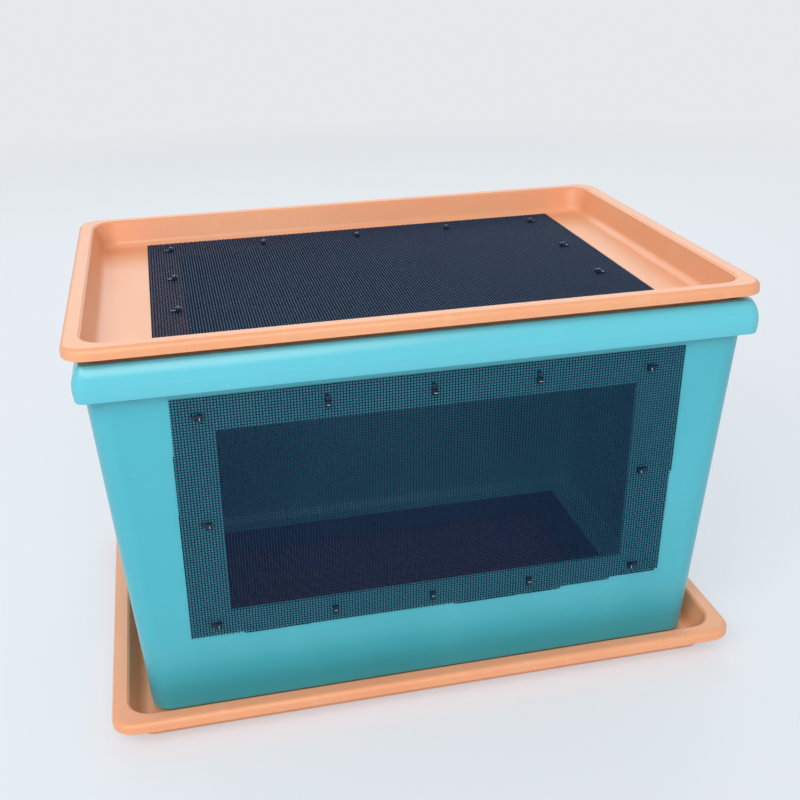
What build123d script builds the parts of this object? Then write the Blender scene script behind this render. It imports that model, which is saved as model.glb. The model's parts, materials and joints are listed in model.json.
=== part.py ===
from build123d import *
import os
from math import atan, cos, degrees, sin, tan

# Keeper box for live insects: a plastic tub with a screened window in its front, floor
# and lid. Two trays from one mould serve it: one stands under the tub and catches what
# falls through the floor screen, the other is dropped into the mouth as the lid.
# Cable ties through pairs of slots hold each screen on.
# Millimetres. +Z is up, +X runs along the long side, and the front faces -Y.
# Origin: centre of the drip tray's underside.

# Tray moulding
TRAY_RIM = (500, 350, 18)          # outline of the rim: length, depth, corner radius
TRAY_HEIGHT = 27
TRAY_WALL = 2.2
RIM_WIDTH = 12.5                   # from the rim's outer edge to the edge of the dish
RIM_LIP = 8                        # how far the rim turns down outside
RIM_ROLL = 4                       # rounding of the rim's outer edge
RIM_INNER_BEVEL = 1.4              # where the rim falls into the dish
DISH_DEPTH = 23
DISH_LEAN = 7                      # how far the dish wall leans in from rim to floor
DISH_FLOOR_CORNER = 12
DISH_FILLET = 7                    # wall to floor, inside
TRAY_FOOT_BEVEL = 3                # wall to underside, outside
TRAY_RING_WIDTH = 6
TRAY_RING_HEIGHT = 1.8             # foot ring under the floor

# Tub moulding
TUB_SHIFT = 2                      # the tub stands a little to the right in its tray
TUB_BASE = (445, 277)              # outline at the foot
TUB_MOUTH = (486, 328)             # outline of the wall at the mouth
TUB_CORNER = 16
TUB_HEIGHT = 306
TUB_WALL = 2.8
TUB_FLOOR = 2.5
TUB_RING_WIDTH = 6
TUB_RING_HEIGHT = 5                # foot ring, deep enough for the ties under the floor
TUB_FOOT_BEVEL = 5                 # walls to underside, outside
TUB_FLOOR_BEVEL = 5                # floor to walls, inside

# Bulging rim round the mouth, hollow underneath
BEAD_OUTLINE = (495, 344, 9)       # where it bulges most
BEAD_HEIGHT = 25
BEAD_DROP = 16                     # from the crest down to the bulge
BEAD_REACH = 6                     # from the crest's edge out to the bulge
BEAD_TUCK = 1                      # how far the lip draws back in below the bulge
BEAD_BACK = 8                      # from the bulge in to the wall
BEAD_WALL = 2.6

# Lid seat
LID_GAP = 6.4                      # from the tub's crest up to the lid rim's lip

# Screens and their windows. Each screen is a sheet with a coarse grid over its window, which
# stands for a weave of 0.8 mm wire, 2.2 mm from wire to wire.
SCREEN_THICKNESS = 1.7
FRONT_SCREEN = (378, 206.5)
FRONT_SCREEN_CENTRE = (2.2, 175.2) # sideways from the tub's middle, height above the ground
FRONT_WINDOW = (312, 157)
FRONT_WINDOW_CENTRE = (-0.4, 172.7)
FRONT_TIE_COLUMNS = (-166.5, -77.5, -0.4, 78.2, 164.4)
FRONT_TIE_HEIGHTS = (85.2, 175, 263.5)
LID_SCREEN = (386.5, 300)
LID_SCREEN_SHIFT = 1.8
LID_WINDOW = (325, 238)
LID_WINDOW_CENTRE = (-1.5, -5)
LID_TIE_COLUMNS = (-170.5, -87, 0, 86, 169)
LID_TIE_ROWS = (-132, -50, 33, 121.5)
FLOOR_SCREEN = (388, 226)
FLOOR_WINDOW = (330, 168)
FLOOR_TIE_COLUMNS = (-173.5, 0, 173.5)
FLOOR_TIE_ROWS = (-92.5, 0, 92.5)
SCREEN_BAR = 4                     # between two openings of a screen's grid
FRONT_GRID = (7, 4)                # openings along and across
LID_GRID = (7, 5)
FLOOR_GRID = (7, 4)

# Cable ties
STRAP_WIDTH = 2.5
STRAP_THICKNESS = 1
TIE_SPAN = 5.4                     # between the two slots
TIE_PLAY = 0.1                     # between the strap and what it holds
SLOT_LENGTH = 3.1
SLOT_WIDTH = 1.5
HEAD_LENGTH = 4.8
HEAD_WIDTH = 4.6
HEAD_HEIGHT = 3.2

# Heights that follow
DRIP_FLOOR = TRAY_HEIGHT - DISH_DEPTH
TUB_CREST = DRIP_FLOOR + TUB_HEIGHT
TUB_FLOOR_TOP = DRIP_FLOOR + TUB_RING_HEIGHT + TUB_FLOOR
LID_TOP = TUB_CREST + LID_GAP + RIM_LIP
LID_FOOT = LID_TOP - TRAY_HEIGHT
LID_FLOOR_TOP = LID_TOP - DISH_DEPTH
TRAY_FLOOR = DRIP_FLOOR - TRAY_RING_HEIGHT


def grown(outline, by):
    """Every side of a rectangle, and its corner radius if it has one, moved out."""
    length, depth, *corner = outline
    return length + 2 * by, depth + 2 * by, *(radius + by for radius in corner)


def flared(outline, bottom, height, angle):
    """Block on a rounded rectangle, growing outwards all round by an angle."""
    with BuildPart() as block:
        with BuildSketch(Plane.XY.offset(bottom)):
            RectangleRounded(*outline)
        extrude(amount=height, taper=-angle)
    return block.part


def tray_moulding(foot):
    """Shallow tray with a rolled rim, standing on its foot ring at a height."""
    top = foot + TRAY_HEIGHT
    floor = top - DISH_DEPTH
    lean = atan(DISH_LEAN / DISH_DEPTH)
    dish_mouth = grown(TRAY_RIM[:2], -RIM_WIDTH)
    dish_floor = (*grown(dish_mouth, -DISH_LEAN), DISH_FLOOR_CORNER)
    underside = grown(dish_floor, TRAY_WALL / cos(lean) - tan(lean) * (floor - foot))
    with BuildPart() as tray:
        with BuildSketch(Plane.XY.offset(top - RIM_LIP)):
            RectangleRounded(*TRAY_RIM)
        extrude(amount=RIM_LIP)
        fillet(tray.edges().group_by(Axis.Z)[-1], RIM_ROLL)
        with BuildSketch(Plane.XY.offset(top - RIM_LIP)):
            RectangleRounded(*grown(TRAY_RIM, -TRAY_WALL))
        extrude(amount=RIM_LIP - TRAY_WALL, mode=Mode.SUBTRACT)
        add(flared(underside, foot, TRAY_HEIGHT, degrees(lean)))
        chamfer(tray.edges().group_by(Axis.Z)[0], TRAY_FOOT_BEVEL)
        add(flared(dish_floor, floor, DISH_DEPTH, degrees(lean)), mode=Mode.SUBTRACT)
        fillet(tray.edges().filter_by_position(Axis.Z, floor, floor), DISH_FILLET)
        rim_top = tray.faces().filter_by(Plane.XY).sort_by(Axis.Z)[-1]
        chamfer(rim_top.inner_wires()[0].edges(), RIM_INNER_BEVEL)
        with BuildSketch(Plane.XY.offset(foot)):
            RectangleRounded(*grown(underside, -TRAY_FOOT_BEVEL - TRAY_RING_WIDTH))
        extrude(amount=TRAY_RING_HEIGHT, mode=Mode.SUBTRACT)
    return tray.part


def tub_block(inset, bottom):
    """Solid inside the tub's sloping walls, from a height up to the mouth."""
    low, high = grown(TUB_BASE, -inset), grown(TUB_MOUTH, -inset)
    with BuildPart() as block:
        for plane, narrow, wide, mode in ((Plane.XZ, low[0], high[0], Mode.ADD),
                                          (Plane.YZ, low[1], high[1], Mode.INTERSECT)):
            with BuildSketch(plane, mode=Mode.PRIVATE) as side:
                with BuildLine():
                    Polyline((-narrow / 2, DRIP_FLOOR), (narrow / 2, DRIP_FLOOR),
                             (wide / 2, TUB_CREST), (-wide / 2, TUB_CREST), close=True)
                make_face()
            extrude(side.sketch, amount=max(high), both=True, mode=mode)
        fillet(block.edges().filter_by(lambda edge: edge.length > TUB_HEIGHT
                                       and abs(edge.center().Z - TUB_CREST / 2) < TUB_CORNER),
               TUB_CORNER - inset)
        split(bisect_by=Plane.XY.offset(bottom), keep=Keep.TOP)
    return block.part


def bead_section():
    """Skin of the rim: +X out from the bulge, +Y up from the crest, hollow and open below."""
    below = BEAD_HEIGHT - BEAD_DROP
    upper_arc = (BEAD_REACH ** 2 + BEAD_DROP ** 2) / (2 * BEAD_REACH)
    lower_arc = (BEAD_TUCK ** 2 + below ** 2) / (2 * BEAD_TUCK)
    with BuildSketch() as section:
        with BuildLine():
            Line((-BEAD_BACK, 0), (-BEAD_REACH, 0))
            RadiusArc((-BEAD_REACH, 0), (0, -BEAD_DROP), upper_arc)
            RadiusArc((0, -BEAD_DROP), (-BEAD_TUCK, -BEAD_HEIGHT), lower_arc)
            Polyline((-BEAD_TUCK, -BEAD_HEIGHT), (-BEAD_TUCK - BEAD_WALL, -BEAD_HEIGHT),
                     (-BEAD_WALL, -BEAD_DROP), (-BEAD_REACH, -BEAD_WALL),
                     (-BEAD_BACK, -BEAD_WALL), (-BEAD_BACK, 0))
        make_face()
    return section.sketch


def bead_ring():
    """The rim's skin run along four straight sides and round four corners."""
    length, depth, corner = BEAD_OUTLINE
    with BuildPart() as ring:
        for turn, (right, back) in enumerate(((1, 1), (-1, 1), (-1, -1), (1, -1))):
            centre = Vector(right * (length / 2 - corner), back * (depth / 2 - corner), TUB_CREST)
            outwards = Vector(1, 0, 0).rotate(Axis.Z, 90 * turn)
            straight = (length if turn % 2 else depth) - 2 * corner
            with BuildSketch(Plane(origin=centre, x_dir=outwards,
                                   z_dir=outwards.cross(Vector(0, 0, 1)))) as section:
                with Locations((corner, 0)):
                    add(bead_section())
            revolve(axis=Axis(centre, (0, 0, 1)), revolution_arc=90)
            extrude(section.sketch, amount=straight)
        # web that joins the crest to the rounded corners of the wall
        with BuildSketch(Plane.XY.offset(TUB_CREST - BEAD_WALL)):
            RectangleRounded(*grown(BEAD_OUTLINE, -BEAD_REACH - 1))
        extrude(amount=BEAD_WALL)
    return ring.part


def tie_places(panel, columns, rows):
    """A ring of places round a window, each turned so that its +X points outwards."""
    places = []
    for column in columns:
        for row in rows:
            at_side = column in (columns[0], columns[-1])
            at_end = row in (rows[0], rows[-1])
            if not (at_side or at_end):
                continue
            if at_side:
                turn = 180 if column == columns[0] else 0
            else:
                turn = -90 if row == rows[0] else 90
            places.append(panel.location * Location((column, row, 0), (0, 0, turn)))
    return places


def grid(window, count):
    """The openings that a screen has over its window, a bar apart."""
    steps = [side / number for side, number in zip(window, count)]
    with BuildSketch() as openings:
        with GridLocations(*steps, *count):
            Rectangle(*(step - SCREEN_BAR for step in steps))
    return openings.sketch


def slot_places(places):
    """Both slots of every tie."""
    return [place * Location((along, 0, 0)) for place in places for along in (0, TIE_SPAN)]


def slot_cutter(places, wall):
    """Blocks that cut the slots through a screen and the wall behind it."""
    with BuildPart() as cutter:
        with Locations(*slot_places(places)):
            Box(SLOT_WIDTH, SLOT_LENGTH, 2 * (wall + SCREEN_THICKNESS + 1))
    return cutter.part


def cable_tie(wall):
    """Closed tie: +X from the head to the far slot, +Z out from the wall it passes."""
    over = SCREEN_THICKNESS + TIE_PLAY
    under = wall + TIE_PLAY
    with BuildPart() as tie:
        with BuildSketch(Plane.XZ):
            with Locations((TIE_SPAN / 2, (over - under) / 2)):
                Rectangle(TIE_SPAN + STRAP_THICKNESS, over + under + 2 * STRAP_THICKNESS)
                Rectangle(TIE_SPAN - STRAP_THICKNESS, over + under, mode=Mode.SUBTRACT)
        extrude(amount=STRAP_WIDTH / 2, both=True)
        with BuildSketch(Plane.XY.offset(over)):
            Rectangle(HEAD_LENGTH, HEAD_WIDTH)
        extrude(amount=HEAD_HEIGHT)
    return tie.part


# Planes of the three screened panels, each on the wall's face under the screen, with the
# tub's or the tray's middle as its origin
front_lean = (TUB_MOUTH[1] - TUB_BASE[1]) / 2 / TUB_HEIGHT
front_angle = atan(front_lean)
front_middle = DRIP_FLOOR + TUB_HEIGHT / 2
front_panel = Plane(origin=(TUB_SHIFT, -(TUB_BASE[1] + TUB_MOUTH[1]) / 4, front_middle),
                    x_dir=(1, 0, 0), z_dir=(0, -cos(front_angle), -sin(front_angle)))
floor_panel = Plane(origin=(TUB_SHIFT, 0, TUB_FLOOR_TOP))
lid_panel = Plane(origin=(0, 0, LID_FLOOR_TOP))


def up_front(height):
    """Distance along the sloping front from its middle to a height above the ground."""
    return (height - front_middle) / cos(front_angle)


front_tie_rows = [up_front(height) for height in FRONT_TIE_HEIGHTS]
front_places = tie_places(front_panel, FRONT_TIE_COLUMNS, front_tie_rows)
floor_places = tie_places(floor_panel, FLOOR_TIE_COLUMNS, FLOOR_TIE_ROWS)
lid_places = tie_places(lid_panel, LID_TIE_COLUMNS, LID_TIE_ROWS)

with BuildPart() as base_tray:
    add(tray_moulding(0))

with BuildPart() as tub:
    # the bulging rim, with the sloping walls run up through it
    with Locations((TUB_SHIFT, 0, 0)):
        add(bead_ring())
        add(tub_block(0, DRIP_FLOOR))
    chamfer(tub.edges().group_by(Axis.Z)[0], TUB_FOOT_BEVEL)
    # the inside
    with Locations((TUB_SHIFT, 0, 0)):
        add(tub_block(TUB_WALL, TUB_FLOOR_TOP), mode=Mode.SUBTRACT)
    chamfer(tub.edges().filter_by_position(Axis.Z, TUB_FLOOR_TOP, TUB_FLOOR_TOP), TUB_FLOOR_BEVEL)
    # recess inside the foot ring
    with BuildSketch(Plane.XY.offset(DRIP_FLOOR)):
        with Locations((TUB_SHIFT, 0)):
            RectangleRounded(*grown((*TUB_BASE, TUB_CORNER), -TUB_FOOT_BEVEL - TUB_RING_WIDTH))
    extrude(amount=TUB_RING_HEIGHT, mode=Mode.SUBTRACT)
    # windows
    with BuildSketch(front_panel):
        with Locations((FRONT_WINDOW_CENTRE[0], up_front(FRONT_WINDOW_CENTRE[1]))):
            Rectangle(*FRONT_WINDOW)
    extrude(amount=TUB_WALL * 2, both=True, mode=Mode.SUBTRACT)
    with BuildSketch(floor_panel):
        Rectangle(*FLOOR_WINDOW)
    extrude(amount=-TUB_FLOOR, mode=Mode.SUBTRACT)
    # tie slots
    add(slot_cutter(front_places, TUB_WALL), mode=Mode.SUBTRACT)
    add(slot_cutter(floor_places, TUB_FLOOR), mode=Mode.SUBTRACT)

with BuildPart() as lid_tray:
    add(tray_moulding(LID_FOOT))
    with BuildSketch(lid_panel):
        with Locations(LID_WINDOW_CENTRE):
            Rectangle(*LID_WINDOW)
    extrude(amount=-TRAY_FLOOR, mode=Mode.SUBTRACT)
    add(slot_cutter(lid_places, TRAY_FLOOR), mode=Mode.SUBTRACT)

with BuildPart() as front_screen:
    with BuildSketch(front_panel):
        with Locations((FRONT_SCREEN_CENTRE[0], up_front(FRONT_SCREEN_CENTRE[1]))):
            Rectangle(*FRONT_SCREEN)
        with Locations((FRONT_WINDOW_CENTRE[0], up_front(FRONT_WINDOW_CENTRE[1]))):
            add(grid(FRONT_WINDOW, FRONT_GRID), mode=Mode.SUBTRACT)
    extrude(amount=SCREEN_THICKNESS)
    add(slot_cutter(front_places, TUB_WALL), mode=Mode.SUBTRACT)

with BuildPart() as floor_screen:
    with BuildSketch(floor_panel):
        Rectangle(*FLOOR_SCREEN)
        add(grid(FLOOR_WINDOW, FLOOR_GRID), mode=Mode.SUBTRACT)
    extrude(amount=SCREEN_THICKNESS)
    add(slot_cutter(floor_places, TUB_FLOOR), mode=Mode.SUBTRACT)

with BuildPart() as lid_screen:
    with BuildSketch(lid_panel):
        with Locations((LID_SCREEN_SHIFT, 0)):
            Rectangle(*LID_SCREEN)
        with Locations(LID_WINDOW_CENTRE):
            add(grid(LID_WINDOW, LID_GRID), mode=Mode.SUBTRACT)
    extrude(amount=SCREEN_THICKNESS)
    add(slot_cutter(lid_places, TRAY_FLOOR), mode=Mode.SUBTRACT)

with BuildPart() as front_ties:
    with Locations(*front_places):
        add(cable_tie(TUB_WALL))

with BuildPart() as floor_ties:
    with Locations(*floor_places):
        add(cable_tie(TUB_FLOOR))

with BuildPart() as lid_ties:
    with Locations(*lid_places):
        add(cable_tie(TRAY_FLOOR))

os.makedirs("parts", exist_ok=True)

base_tray.part.label = "base_tray"
export_step(base_tray.part, "parts/base_tray.step")
tub.part.label = "tub"
export_step(tub.part, "parts/tub.step")
front_screen.part.label = "front_screen"
export_step(front_screen.part, "parts/front_screen.step")
front_ties.part.label = "front_ties"
export_step(front_ties.part, "parts/front_ties.step")
floor_screen.part.label = "floor_screen"
export_step(floor_screen.part, "parts/floor_screen.step")
floor_ties.part.label = "floor_ties"
export_step(floor_ties.part, "parts/floor_ties.step")
lid_tray.part.label = "lid_tray"
export_step(lid_tray.part, "parts/lid_tray.step")
lid_screen.part.label = "lid_screen"
export_step(lid_screen.part, "parts/lid_screen.step")
lid_ties.part.label = "lid_ties"
export_step(lid_ties.part, "parts/lid_ties.step")
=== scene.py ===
import json
from math import atan, cos, pi, radians, sin

import bpy
from mathutils import Matrix, Vector


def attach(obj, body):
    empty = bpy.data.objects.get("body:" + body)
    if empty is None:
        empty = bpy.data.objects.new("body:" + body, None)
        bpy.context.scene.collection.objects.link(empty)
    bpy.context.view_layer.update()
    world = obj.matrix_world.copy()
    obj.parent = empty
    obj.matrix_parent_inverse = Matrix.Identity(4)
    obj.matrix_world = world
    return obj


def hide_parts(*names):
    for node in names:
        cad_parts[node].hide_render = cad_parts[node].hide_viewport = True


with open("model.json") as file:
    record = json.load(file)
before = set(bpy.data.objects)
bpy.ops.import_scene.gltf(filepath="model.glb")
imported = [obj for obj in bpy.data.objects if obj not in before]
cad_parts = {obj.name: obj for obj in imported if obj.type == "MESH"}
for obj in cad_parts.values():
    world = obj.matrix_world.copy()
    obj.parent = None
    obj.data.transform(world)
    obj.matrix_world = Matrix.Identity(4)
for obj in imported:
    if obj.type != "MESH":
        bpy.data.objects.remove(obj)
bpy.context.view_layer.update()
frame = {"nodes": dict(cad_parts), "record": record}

# Keeper box for live insects, dressed for its picture: the moulded tub and trays keep their
# solids, and every screen is woven from its own coated wires and held on by cable ties.
# Metres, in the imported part's frame: +Z up, the screened front faces -Y.

# The mouldings, as far as the screens need them
DRIP_FLOOR = 0.004                  # the drip tray's floor, which the tub stands on
TUB_SHIFT = 0.002                   # the tub stands a little to the right in its tray
TUB_HEIGHT = 0.306
TUB_BASE_DEPTH = 0.277              # front to back at the foot
TUB_MOUTH_DEPTH = 0.328             # and at the mouth
TUB_WALL = 0.0028
TUB_FLOOR = 0.0025
TUB_FLOOR_TOP = 0.0115
LID_FLOOR = 0.0022
LID_FLOOR_TOP = 0.3014

# The tub's front, where the screen lies on it
LEAN = atan((TUB_MOUTH_DEPTH - TUB_BASE_DEPTH) / 2 / TUB_HEIGHT)
FRONT_MIDDLE = DRIP_FLOOR + TUB_HEIGHT / 2
FRONT_FACE = -(TUB_BASE_DEPTH + TUB_MOUTH_DEPTH) / 4

# Woven screens
SCREEN = 0.0017                     # thickness of every screen
WIRE = 0.00081                      # thickness of one coated wire
PITCH = 0.0022                      # from one wire to the next
SPARE = 3                           # crossings past an outline, to be cut off


# ---------------------------------------------------------------- finishes

class Value:
    """A node's output that takes part in sums: each operator adds a Math node."""

    def __init__(self, finish, socket):
        self.finish, self.socket = finish, socket

    def _sum(self, operation, first, second):
        return self.finish.node("Math", {"operation": operation}, {0: first, 1: second})

    def __add__(self, other):
        return self._sum("ADD", self, other)

    def __sub__(self, other):
        return self._sum("SUBTRACT", self, other)

    def __mul__(self, other):
        return self._sum("MULTIPLY", self, other)

    __radd__, __rmul__ = __add__, __mul__


class Finish:
    """A material under way. node() adds any node; the rest are finishes used often."""

    def __init__(self, name, **constants):
        self.material = bpy.data.materials.new(name)
        self.material.use_nodes = True
        self.tree = self.material.node_tree
        self.shader = self.tree.nodes["Principled BSDF"]
        for socket, value in constants.items():
            self.shader.inputs[socket.replace("_", " ")].default_value = value
        self.place = self.node("TexCoord", output="Object")

    def node(self, kind, settings=None, sockets=None, output=0):
        """Adds a node with its settings and what its sockets get, and gives one output."""
        node = self.tree.nodes.new("ShaderNode" + kind)
        for name, setting in (settings or {}).items():
            setattr(node, name, setting)
        for name, value in (sockets or {}).items():
            self.feed(node.inputs[name], value)
        return Value(self, node.outputs[output])

    def feed(self, socket, value):
        """Links a value to a socket, or sets a constant on it."""
        if isinstance(value, Value):
            self.tree.links.new(value.socket, socket)
        elif isinstance(value, tuple) and len(value) == 3 and socket.type == "RGBA":
            socket.default_value = (*value, 1)
        else:
            socket.default_value = value

    def noise(self, scale, detail=2, stretch=(1, 1, 1)):
        """Noise between 0 and 1, finer with its scale, and drawn out where a stretch is small."""
        place = self.node("Mapping", {"vector_type": "POINT"},
                          {"Vector": self.place, "Scale": stretch})
        return self.node("TexNoise", {}, {"Vector": place, "Scale": scale, "Detail": detail})

    def ramp(self, value, low, high):
        """The value's share of the way from low to high, held between 0 and 1."""
        return self.node("MapRange", {"clamp": True},
                         {"Value": value, "From Min": low, "From Max": high})

    def mix(self, share, first, second):
        """The second colour over the first, by its share."""
        return self.node("Mix", {"data_type": "RGBA"}, {0: share, 6: first, 7: second}, output=2)

    def along(self, way):
        """How far out along a direction the place is."""
        return self.node("VectorMath", {"operation": "DOT_PRODUCT"}, {0: self.place, 1: way},
                         "Value")

    def seen(self):
        """1 on rays that show a thing straight, mirrored or through glass, and 0 on the others."""
        path = self.node("LightPath").socket.node
        camera, glossy, through = (Value(self, path.outputs[f"Is {ray} Ray"])
                                   for ray in ("Camera", "Glossy", "Transmission"))
        return camera + glossy + through

    def shown(self, share, first, second, output):
        """Ends the nodes in a mix of two shaders."""
        mixed = self.node("MixShader", {}, {0: share, 1: first, 2: second})
        self.feed(self.tree.nodes[output].inputs["Surface"], mixed)

    def finish(self, colour, roughness=None, bump=None, depth=0.0001):
        """Gives the shader its colour, and its roughness and fine relief if it has any."""
        inputs = self.shader.inputs
        self.feed(inputs["Base Color"], colour)
        if roughness is not None:
            self.feed(inputs["Roughness"], roughness)
        if bump is not None:
            self.feed(inputs["Normal"], self.node(
                "Bump", {}, {"Height": bump, "Distance": depth, "Strength": 1.0}, "Normal"))
        return self.material


class Surroundings(Finish):
    """The world's nodes, under way in the same words as a finish."""

    def __init__(self, tree):
        self.tree = tree


def tub_plastic():
    """Teal polypropylene, satin, with faint flow marks up the walls, handling scuffs, and a
    painted highlight that makes the rim paler."""
    teal, pale_teal = (0.057, 0.43, 0.52), (0.073, 0.48, 0.58)
    # The paler rim colour is a painted highlight, laid on from just below the rim upwards.
    flow_mark, painted_rim_highlight, scuff = (0.11, 0.53, 0.63), (0.125, 0.565, 0.675), (0.35, 0.66, 0.72)
    rim_highlight_from, rim_highlight_full = 0.272, 0.288     # heights: it starts just below the rim
    made = Finish("tub_plastic", Specular_IOR_Level=0.5, IOR=1.49)
    clouds = made.noise(9, 3)
    flow = made.noise(26, 2, (1, 1, 0.12))
    grain = made.noise(1400, 2)
    scuffs = made.ramp(made.noise(60, 6, (1, 1, 2.5)), 0.62, 0.95)
    colour = made.mix(made.ramp(clouds, 0.3, 0.7), teal, pale_teal)
    colour = made.mix(made.ramp(flow, 0.45, 0.8) * 0.25, colour, flow_mark)
    height = made.node("SeparateXYZ", {}, {0: made.place}, "Z")
    # Painted highlight: the rim is painted paler, unevenly, from just below it upwards.
    rim_highlight_share = made.ramp(height, rim_highlight_from, rim_highlight_full) * (0.75 + 0.3 * clouds)
    colour = made.mix(rim_highlight_share, colour, painted_rim_highlight)
    colour = made.mix(scuffs * 0.012, colour, scuff)
    roughness = 0.22 + 0.08 * clouds + 0.03 * scuffs
    return made.finish(colour, roughness, grain * 0.4 + flow * 0.6, 0.00006)


def tray_plastic():
    """Peach polypropylene, satin, a little uneven, dulled where things are slid about."""
    peach, pale_peach, rub = (0.90, 0.365, 0.182), (0.93, 0.415, 0.221), (0.97, 0.60, 0.42)
    made = Finish("tray_plastic", Specular_IOR_Level=0.5, IOR=1.49, Subsurface_Weight=0.3,
                  Subsurface_Radius=(1.0, 0.3, 0.15), Subsurface_Scale=0.012)
    clouds = made.noise(7, 3)
    grain = made.noise(1300, 2)
    rubs = made.ramp(made.noise(45, 6, (2.2, 0.7, 1)), 0.58, 0.74)
    colour = made.mix(made.ramp(clouds, 0.3, 0.7), peach, pale_peach)
    colour = made.mix(rubs * 0.14, colour, rub)
    roughness = 0.30 + 0.08 * clouds + 0.12 * rubs
    return made.finish(colour, roughness, grain, 0.00005)


def coated_wire(name, face, height, worn, painted_shade_factor):
    """Glass-fibre yarn in a navy plastic coat, with a painted highlight on its crowns at the share
    given for it.
    The navy is darkened by painted shade to the share that is left of it, face is the screen's way
    out, and height how far out its middle lies."""
    navy = ((0.007, 0.020, 0.056), (0.010, 0.028, 0.080))
    # Colour of the painted highlight on the wire crowns.
    painted_crown_highlight = (0.160, 0.290, 0.540)
    made = Finish(name, Specular_IOR_Level=0.12, IOR=1.5)
    patches = made.noise(30, 3)
    coat = made.noise(900, 1)
    # Painted highlight: the crowns, the parts of the wires furthest out towards the face, are
    # painted paler.
    crown = made.ramp(made.along(face) - height, 0.5 * WIRE, 0.95 * WIRE)
    # Painted shade: the navy is darkened to the share that is left of it; the patches vary it at
    # random.
    deep = made.mix(patches, *(tuple(painted_shade_factor * share for share in tone) for tone in navy))
    colour = made.mix(crown * (0.7 + 0.5 * coat) * worn, deep, painted_crown_highlight)
    return made.finish(colour, 0.24 + 0.20 * coat, coat, 0.00004)


def nylon(name, face, tip):
    """Dark nylon of the cable ties, glossy, painted pale at the snipped tail end, both as the
    whitened cut and as a painted glint. face is the ties' way out, and tip how far out the paler
    end starts."""
    # The pale tail tip is a painted glint, and also stands for the whitened cut end.
    dark, less_dark, whitened_cut_and_glint = (0.005, 0.018, 0.038), (0.010, 0.030, 0.060), (0.30, 0.42, 0.48)
    made = Finish(name, Specular_IOR_Level=0.3, IOR=1.53)
    grain = made.noise(2200, 2)
    colour = made.mix(grain, dark, less_dark)
    colour = made.mix(made.ramp(made.along(face), tip, tip + 0.0002), colour, whitened_cut_and_glint)
    return made.finish(colour, 0.12 + 0.12 * grain, grain, 0.00003)


finishes = {"tub_plastic": tub_plastic(), "tray_plastic": tray_plastic()}
for part in frame["record"]["subparts"]:
    if part["material_slot"] in finishes:
        node = frame["nodes"][part["node"]]
        node.data.materials.clear()
        node.data.materials.append(finishes[part["material_slot"]])


# ---------------------------------------------------------------- modelling

def start_afresh():
    """Back to object mode with nothing selected."""
    if bpy.context.mode != "OBJECT":
        bpy.ops.object.mode_set(mode="OBJECT")
    bpy.ops.object.select_all(action="DESELECT")


def choose(piece, kind, test):
    """Leaves the piece in edit mode with only the vertices, edges or faces that pass."""
    start_afresh()
    bpy.context.view_layer.objects.active = piece
    piece.select_set(True)
    bpy.ops.object.mode_set(mode="EDIT")
    bpy.ops.mesh.select_mode(type={"vertices": "VERT", "edges": "EDGE", "polygons": "FACE"}[kind])
    bpy.ops.mesh.select_all(action="DESELECT")
    bpy.ops.object.mode_set(mode="OBJECT")
    for item in getattr(piece.data, kind):
        item.select = test(item)
    bpy.ops.object.mode_set(mode="EDIT")


def block(name, size, centre):
    """A box to start a piece from."""
    start_afresh()
    bpy.ops.mesh.primitive_cube_add(size=1, location=centre)
    piece = bpy.context.active_object
    piece.scale = size
    bpy.ops.object.transform_apply(location=True, rotation=True, scale=True)
    piece.name = piece.data.name = name
    return piece


def modified(piece, kind, **settings):
    """Adds a modifier and applies it."""
    start_afresh()
    bpy.context.view_layer.objects.active = piece
    piece.select_set(True)
    modifier = piece.modifiers.new(kind.lower(), kind)
    for name, value in settings.items():
        setattr(modifier, name, value)
    bpy.ops.object.modifier_apply(modifier=modifier.name)
    return piece


def copied(piece, name):
    """A piece of its own, mesh and all, like the first."""
    twin = piece.copy()
    twin.data = piece.data.copy()
    twin.name = twin.data.name = name
    bpy.context.scene.collection.objects.link(twin)
    return twin


def joined(name, pieces):
    """Several pieces as one."""
    start_afresh()
    for piece in pieces:
        piece.select_set(True)
    bpy.context.view_layer.objects.active = pieces[0]
    bpy.ops.object.join()
    pieces[0].name = pieces[0].data.name = name
    return pieces[0]


def put(piece, placing):
    """Moves a piece by a placing that ends up in its mesh."""
    piece.data.transform(placing)
    return piece


# ---------------------------------------------------------------- panels

class Panel:
    """A screened panel: where its wall's face is, how thick the wall is, the columns and rows of
    its ties, and its screen's outline. Places on it are measured from the middle of the
    moulding, +Y up or to the back. Its weft and its warp each have a share of painted highlight
    on their crowns, and both have one factor of painted shade on their navy, as in coated_wire."""

    # By default a faint painted highlight on the crowns and no painted shade.
    def __init__(self, screen, body, placing, wall, columns, rows, outline, worn=(0.17, 0.17),
                 painted_shade_factor=1):
        self.screen, self.body, self.placing, self.wall = screen, body, placing, wall
        self.columns, self.rows, self.outline = columns, rows, outline
        self.worn, self.painted_shade_factor = worn, painted_shade_factor
        self.face = tuple(placing.to_3x3() @ Vector((0, 0, 1)))

    def height(self, proud):
        """How far out along the face a point lies that stands so proud of the wall."""
        return (self.placing @ Vector((0, 0, proud))).dot(Vector(self.face))


def rectangle(width, depth, shift=0):
    """Outline of a rectangle round the middle, shifted sideways."""
    return [(shift + width * right / 2, depth * back / 2)
            for right, back in ((-1, -1), (1, -1), (1, 1), (-1, 1))]


def up_front(height):
    """How far up the leaning front a height above the ground is, from the front's middle."""
    return (height - FRONT_MIDDLE) / cos(LEAN)


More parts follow.
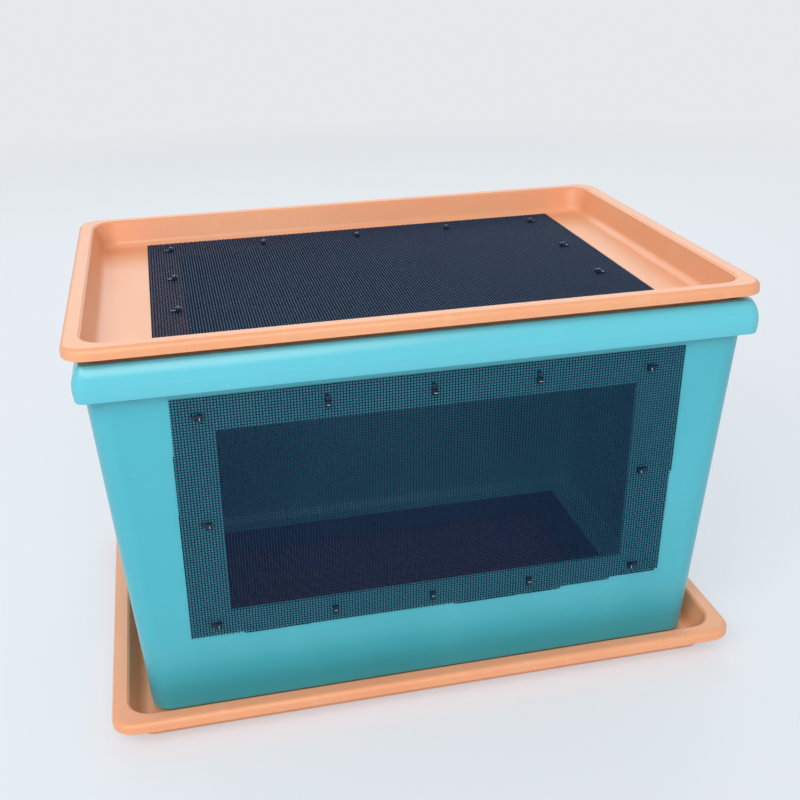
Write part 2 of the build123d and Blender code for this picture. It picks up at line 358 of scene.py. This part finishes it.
panels = [
    Panel("front_screen", "box",
          Matrix.Translation((TUB_SHIFT, FRONT_FACE, FRONT_MIDDLE))
          @ Matrix.Rotation(pi / 2 + LEAN, 4, "X"),
          TUB_WALL, (-0.1665, -0.0775, -0.0004, 0.0782, 0.1644),
          [up_front(height) for height in (0.0852, 0.175, 0.2635)],
          [(-0.1879, -0.0829), (0.081, -0.0865), (0.1897, -0.0806),
           (0.1922, 0.1213), (-0.1862, 0.1213)]),
    Panel("floor_screen", "box", Matrix.Translation((TUB_SHIFT, 0, TUB_FLOOR_TOP)), TUB_FLOOR,
          (-0.1735, 0, 0.1735), (-0.0925, 0, 0.0925),
          rectangle(0.388, 0.226)),
    # The lid's wires get a strong painted highlight on their crowns, and their navy a painted
    # shade that darkens it to about a third.
    Panel("lid_screen", "lid", Matrix.Translation((0, 0, LID_FLOOR_TOP)), LID_FLOOR,
          (-0.1705, -0.087, 0, 0.086, 0.169), (-0.132, -0.05, 0.033, 0.1215),
          rectangle(0.3865, 0.300, 0.0018), worn=(0.8, 1.0), painted_shade_factor=0.35),
]


def dressed(piece, panel, finish, node):
    """Gives a finished piece its finish and its body, and hides the node it stands for."""
    piece.data.materials.clear()
    piece.data.materials.append(finish)
    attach(piece, panel.body)
    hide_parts(node)


# ---------------------------------------------------------------- woven screens

def edge_run(piece, edge):
    """From an edge's one end to its other."""
    first, second = (piece.data.vertices[i].co for i in edge.vertices)
    return second - first


def crimped_wire(crossings, up):
    """One wire along X: a ring at each wire it crosses, over one and under the next."""
    start_afresh()
    bpy.ops.mesh.primitive_cylinder_add(vertices=4, radius=WIRE / 2, depth=2 * PITCH,
                                        end_fill_type="NOTHING", rotation=(0, pi / 2, 0))
    wire = bpy.context.active_object
    bpy.ops.object.transform_apply(location=False, rotation=True, scale=False)
    choose(wire, "edges", lambda edge: abs(edge_run(wire, edge).x) > PITCH)
    bpy.ops.mesh.subdivide(number_cuts=1)
    for middle in (0, 1):
        choose(wire, "vertices", lambda vertex: (abs(vertex.co.x) < PITCH / 2) == bool(middle))
        rise = WIRE / 2 if middle == up else -WIRE / 2
        bpy.ops.transform.translate(value=(0, 0, rise))
    modified(wire, "ARRAY", count=crossings // 2, use_relative_offset=False,
             use_constant_offset=True, constant_offset_displace=(2 * PITCH, 0, 0),
             use_merge_vertices=True, merge_threshold=PITCH / 50)
    return put(wire, Matrix.Translation((-(crossings // 2 - 1) * PITCH, 0, 0)))


def wires(crossings, rows, up):
    """Every wire of one direction, side by side along Y, each going over where its neighbours
    go under."""
    phases = []
    for phase in (0, 1):
        wire = put(crimped_wire(crossings, (up + phase) % 2),
                   Matrix.Translation((0, (phase - (rows - 1) / 2) * PITCH, 0)))
        phases.append(modified(wire, "ARRAY", count=(rows + 1 - phase) // 2,
                               use_relative_offset=False, use_constant_offset=True,
                               constant_offset_displace=(0, 2 * PITCH, 0)))
    return joined("wires", phases)


def trimmed(piece, outline):
    """Cuts a piece off square along every side of an outline, and closes the cut wires."""
    for start, end in zip(outline, outline[1:] + outline[:1]):
        choose(piece, "vertices", lambda vertex: True)
        bpy.ops.mesh.bisect(plane_co=(*start, 0),
                            plane_no=(end[1] - start[1], start[0] - end[0], 0),
                            use_fill=True, clear_outer=True)
    start_afresh()
    return piece


def weave(panel):
    """The screen's weft and warp, in place of its sheet."""
    width, depth = (max(side) - min(side) for side in zip(*panel.outline))
    centre = [(max(side) + min(side)) / 2 for side in zip(*panel.outline)]
    across, along = (2 * round(side / PITCH / 2) + 1 for side in (width, depth))
    weft = wires(across + SPARE, along, 0)
    warp = put(wires(along + SPARE, across, 1), Matrix.Rotation(pi / 2, 4, "Z"))
    # Each way of wires gets its own share of painted highlight on the crowns, and the panel's
    # painted shade.
    for piece, way, worn in ((weft, "weft", panel.worn[0]), (warp, "warp", panel.worn[1])):
        finish = coated_wire(f"{panel.screen}_{way}", panel.face, panel.height(SCREEN / 2), worn,
                             panel.painted_shade_factor)
        put(piece, Matrix.Translation((*centre, 0)))
        trimmed(piece, panel.outline)
        piece.name = piece.data.name = panel.screen + "_" + way
        put(piece, panel.placing @ Matrix.Translation((0, 0, SCREEN / 2)))
        choose(piece, "vertices", lambda vertex: True)
        bpy.ops.mesh.faces_shade_smooth()
        start_afresh()
        dressed(piece, panel, finish, panel.screen)


for panel in panels:
    weave(panel)


# ---------------------------------------------------------------- cable ties

SPAN = 0.0054                       # between a tie's two slots
STRAP = (0.001, 0.0025)             # thickness, width
STRAP_ROUND = 0.00042               # of its turns
STRAP_EDGE = 0.00012                # small rounding of its edges
PLAY = 0.0001                       # between the strap and what it holds
HEAD = (0.0047, 0.0045, 0.0032)     # length, width, height
HEAD_ROUND = 0.0006
HEAD_DRAFT = (0.88, 0.9, 1)         # how much of it is left at its top
POCKET_WALL = 0.0007                # round the pawl's pocket
POCKET_DEPTH = 0.0014
PAWL = (0.0009, 0.0019, 0.0016)     # length, width, height
PAWL_BACK = 0.0010                  # its middle, from the strap's
PAWL_DROP = 0.0013                  # its middle, below the head's top
PAWL_LEAN = (0.0004, 0, -0.0001)    # of its upper end, towards the strap and down
PAWL_EDGE = 0.0001
TAIL = 0.0007                       # the snipped tail, above its head
TAIL_SHARE = (0.7, 0.92)            # of the strap's thickness and width
TAIL_ASIDE = 0.0001                 # its middle, from the head's
TAIL_SLANT = 0.00025                # of the cut
TAIL_EDGE = 0.00008
TEETH = 5
TOOTH = (0.00022, 0.0015, 0.00028)  # length, width, height
TOOTH_DRAFT = (0.4, 1, 1)           # how much of one is left at its top
TOOTH_STEP = 0.0005
TOOTH_FOOT = 0.00022                # where they start, just inside the tail's face


def tie_strap(wall):
    """Closed strap: +X from the head to the far slot, round the screen and the wall."""
    thick, wide = STRAP
    top, bottom = SCREEN + PLAY + thick, -wall - PLAY - thick
    strap = block("strap", (SPAN + thick, wide, top - bottom), (SPAN / 2, 0, (top + bottom) / 2))
    choose(strap, "polygons", lambda face: abs(face.normal.y) > 0.9)
    bpy.ops.mesh.inset(thickness=thick, use_even_offset=True)
    bpy.ops.mesh.bridge_edge_loops()
    choose(strap, "edges", lambda edge: abs(edge_run(strap, edge).y) > wide / 2)
    bpy.ops.mesh.bevel(offset=STRAP_ROUND, segments=3)
    start_afresh()
    return modified(strap, "BEVEL", width=STRAP_EDGE, segments=2, limit_method="ANGLE",
                    angle_limit=radians(50))


def tie_head():
    """Ratchet head over the near slot, with a pocket in its top and the pawl in that."""
    foot = SCREEN + PLAY
    middle, pawl_middle = foot + HEAD[2] / 2, foot + HEAD[2] - PAWL_DROP
    head = block("head", HEAD, (0, 0, middle))
    choose(head, "vertices", lambda vertex: vertex.co.z > middle)
    bpy.ops.transform.resize(value=HEAD_DRAFT, center_override=(0, 0, foot))
    choose(head, "polygons", lambda face: face.normal.z > 0.9)
    bpy.ops.mesh.inset(thickness=POCKET_WALL)
    bpy.ops.mesh.extrude_region_move(TRANSFORM_OT_translate={"value": (0, 0, -POCKET_DEPTH)})
    start_afresh()
    modified(head, "BEVEL", width=HEAD_ROUND, segments=4, limit_method="ANGLE",
             angle_limit=radians(40))
    pawl = block("pawl", PAWL, (-PAWL_BACK, 0, pawl_middle))
    choose(pawl, "vertices", lambda vertex: vertex.co.z > pawl_middle)
    bpy.ops.transform.translate(value=PAWL_LEAN)
    start_afresh()
    modified(pawl, "BEVEL", width=PAWL_EDGE, segments=2)
    return [head, pawl]


def tie_tail():
    """Toothed end of the strap, snipped off just above the head."""
    thick, wide = (side * share for side, share in zip(STRAP, TAIL_SHARE))
    foot, top = SCREEN, SCREEN + PLAY + HEAD[2] + TAIL
    tail = block("tail", (thick, wide, top - foot), (TAIL_ASIDE, 0, (foot + top) / 2))
    choose(tail, "vertices", lambda vertex: vertex.co.z > top - 1e-5 and vertex.co.y > 0)
    bpy.ops.transform.translate(value=(0, 0, -TAIL_SLANT))
    start_afresh()
    modified(tail, "BEVEL", width=TAIL_EDGE, segments=2)
    teeth = []
    for step in range(TEETH):
        middle = top - TOOTH_STEP - step * TOOTH_STEP
        tooth = block("tooth", TOOTH, (-TOOTH_FOOT - TOOTH[0] / 2, 0, middle))
        choose(tooth, "vertices", lambda vertex: vertex.co.z > middle)
        bpy.ops.transform.resize(value=TOOTH_DRAFT, center_override=(-TOOTH_FOOT, 0, 0))
        teeth.append(tooth)
    start_afresh()
    return [tail, *teeth]


def cable_tie(wall):
    """A whole tie, threaded through a wall of that thickness and pulled tight."""
    tie = joined("tie", [tie_strap(wall), *tie_head(), *tie_tail()])
    bpy.ops.object.shade_smooth_by_angle(angle=radians(35))
    return tie


def tie_turns(panel):
    """Every place of a ring round the window, with the turn that points its tie outwards."""
    for column in panel.columns:
        for row in panel.rows:
            at_side = column in (panel.columns[0], panel.columns[-1])
            at_end = row in (panel.rows[0], panel.rows[-1])
            if at_side:
                yield column, row, pi if column == panel.columns[0] else 0
            elif at_end:
                yield column, row, -pi / 2 if row == panel.rows[0] else pi / 2


for panel in panels:
    first = cable_tie(panel.wall)
    group = panel.screen.replace("screen", "tie")
    finish = nylon(group + "s", panel.face, panel.height(SCREEN + PLAY + HEAD[2] + TAIL / 3))
    for number, (column, row, turn) in enumerate(tie_turns(panel), 1):
        tie = copied(first, f"{group}_{number}")
        put(tie, panel.placing @ Matrix.Translation((column, row, 0))
            @ Matrix.Rotation(turn, 4, "Z"))
        dressed(tie, panel, finish, group + "s")
    bpy.data.objects.remove(first)


# ---------------------------------------------------------------- studio

def light_panel(name, glow, width, height, place, aim, colour):
    """A soft panel of light, as bright to look at as its glow."""
    data = bpy.data.lights.new(name, "AREA")
    data.shape, data.size, data.size_y = "RECTANGLE", width, height
    data.energy, data.color = glow * pi * width * height, colour
    light = bpy.data.objects.new(name, data)
    bpy.context.scene.collection.objects.link(light)
    light.location = place
    light.rotation_euler = (Vector(aim) - Vector(place)).to_track_quat("-Z", "Y").to_euler()
    light.visible_camera = False


BACKDROP = (0.78, 0.81, 0.83)       # the pale ground far off, as it is seen
NEAR_BY = (0.80, 0.85, 0.90)        # its own light round the part
FADE = (0.7, 2.6)                   # from the one to the other, away from the middle


def studio_world():
    """Even daylight from all round, which looks like the backdrop where it is seen."""
    world = bpy.data.worlds.new("studio")
    bpy.context.scene.world = world
    world.use_nodes = True
    made = Surroundings(world.node_tree)
    daylight = made.node("Background", {}, {"Color": (0.94, 0.97, 1), "Strength": 0.47})
    backdrop = made.node("Background", {}, {"Color": BACKDROP, "Strength": 1.0})
    made.shown(made.seen(), daylight, backdrop, "World Output")


def table_top():
    """Pale matt surface. Near by it is seen half by its own light, so that it stays pale, and
    half by what falls on it, so that the shadow stays. Far off it becomes the backdrop."""
    made = Finish("table_top", Roughness=0.7)
    made.finish((0.87, 0.90, 0.94))
    distance = made.node("VectorMath", {"operation": "LENGTH"}, {0: made.place}, "Value")
    away = made.ramp(distance, *FADE)
    glow = made.node("Emission", {}, {"Color": made.mix(away, NEAR_BY, BACKDROP),
                                      "Strength": 1.0})
    made.shown(made.seen() * (0.5 + 0.5 * away), Value(made, made.shader.outputs[0]), glow,
               "Material Output")
    return made.material


def stand_camera():
    """The camera, in front of the part, above it and a little to its left."""
    camera = bpy.data.objects.new("camera", bpy.data.cameras.new("camera"))
    bpy.context.scene.collection.objects.link(camera)
    bpy.context.scene.camera = camera
    yaw, pitch, roll = -0.208358, -0.369046, -0.026225
    camera.location = (-0.17603, -0.86923, 0.57713)
    forward = Vector((-sin(yaw) * cos(pitch), cos(yaw) * cos(pitch), sin(pitch)))
    right = Vector((cos(yaw), sin(yaw), 0))
    up = right.cross(forward)
    tilted_right = cos(roll) * right + sin(roll) * up
    tilted_up = -sin(roll) * right + cos(roll) * up
    camera.rotation_euler = Matrix((tilted_right, tilted_up, -forward)).transposed().to_euler()
    camera.data.sensor_width = 36
    camera.data.lens = 50.06
    camera.data.shift_x = 0.0062
    camera.data.shift_y = -0.0622


studio_world()
light_panel("window", glow=1.6, width=2.8, height=0.9, place=(0.2, 1.7, 1.2), aim=(0, 0, 0.25),
            colour=(0.97, 0.99, 1))
light_panel("front_left", glow=4.4, width=2.9, height=1.2, place=(-0.8, -1.8, 1.85),
            aim=(0, 0, 0.15), colour=(1, 0.99, 0.97))

start_afresh()
bpy.ops.mesh.primitive_plane_add(size=120)
floor = bpy.context.active_object
floor.name = "floor"
floor.data.materials.append(table_top())

stand_camera()
bpy.context.scene.view_settings.view_transform = "Standard"
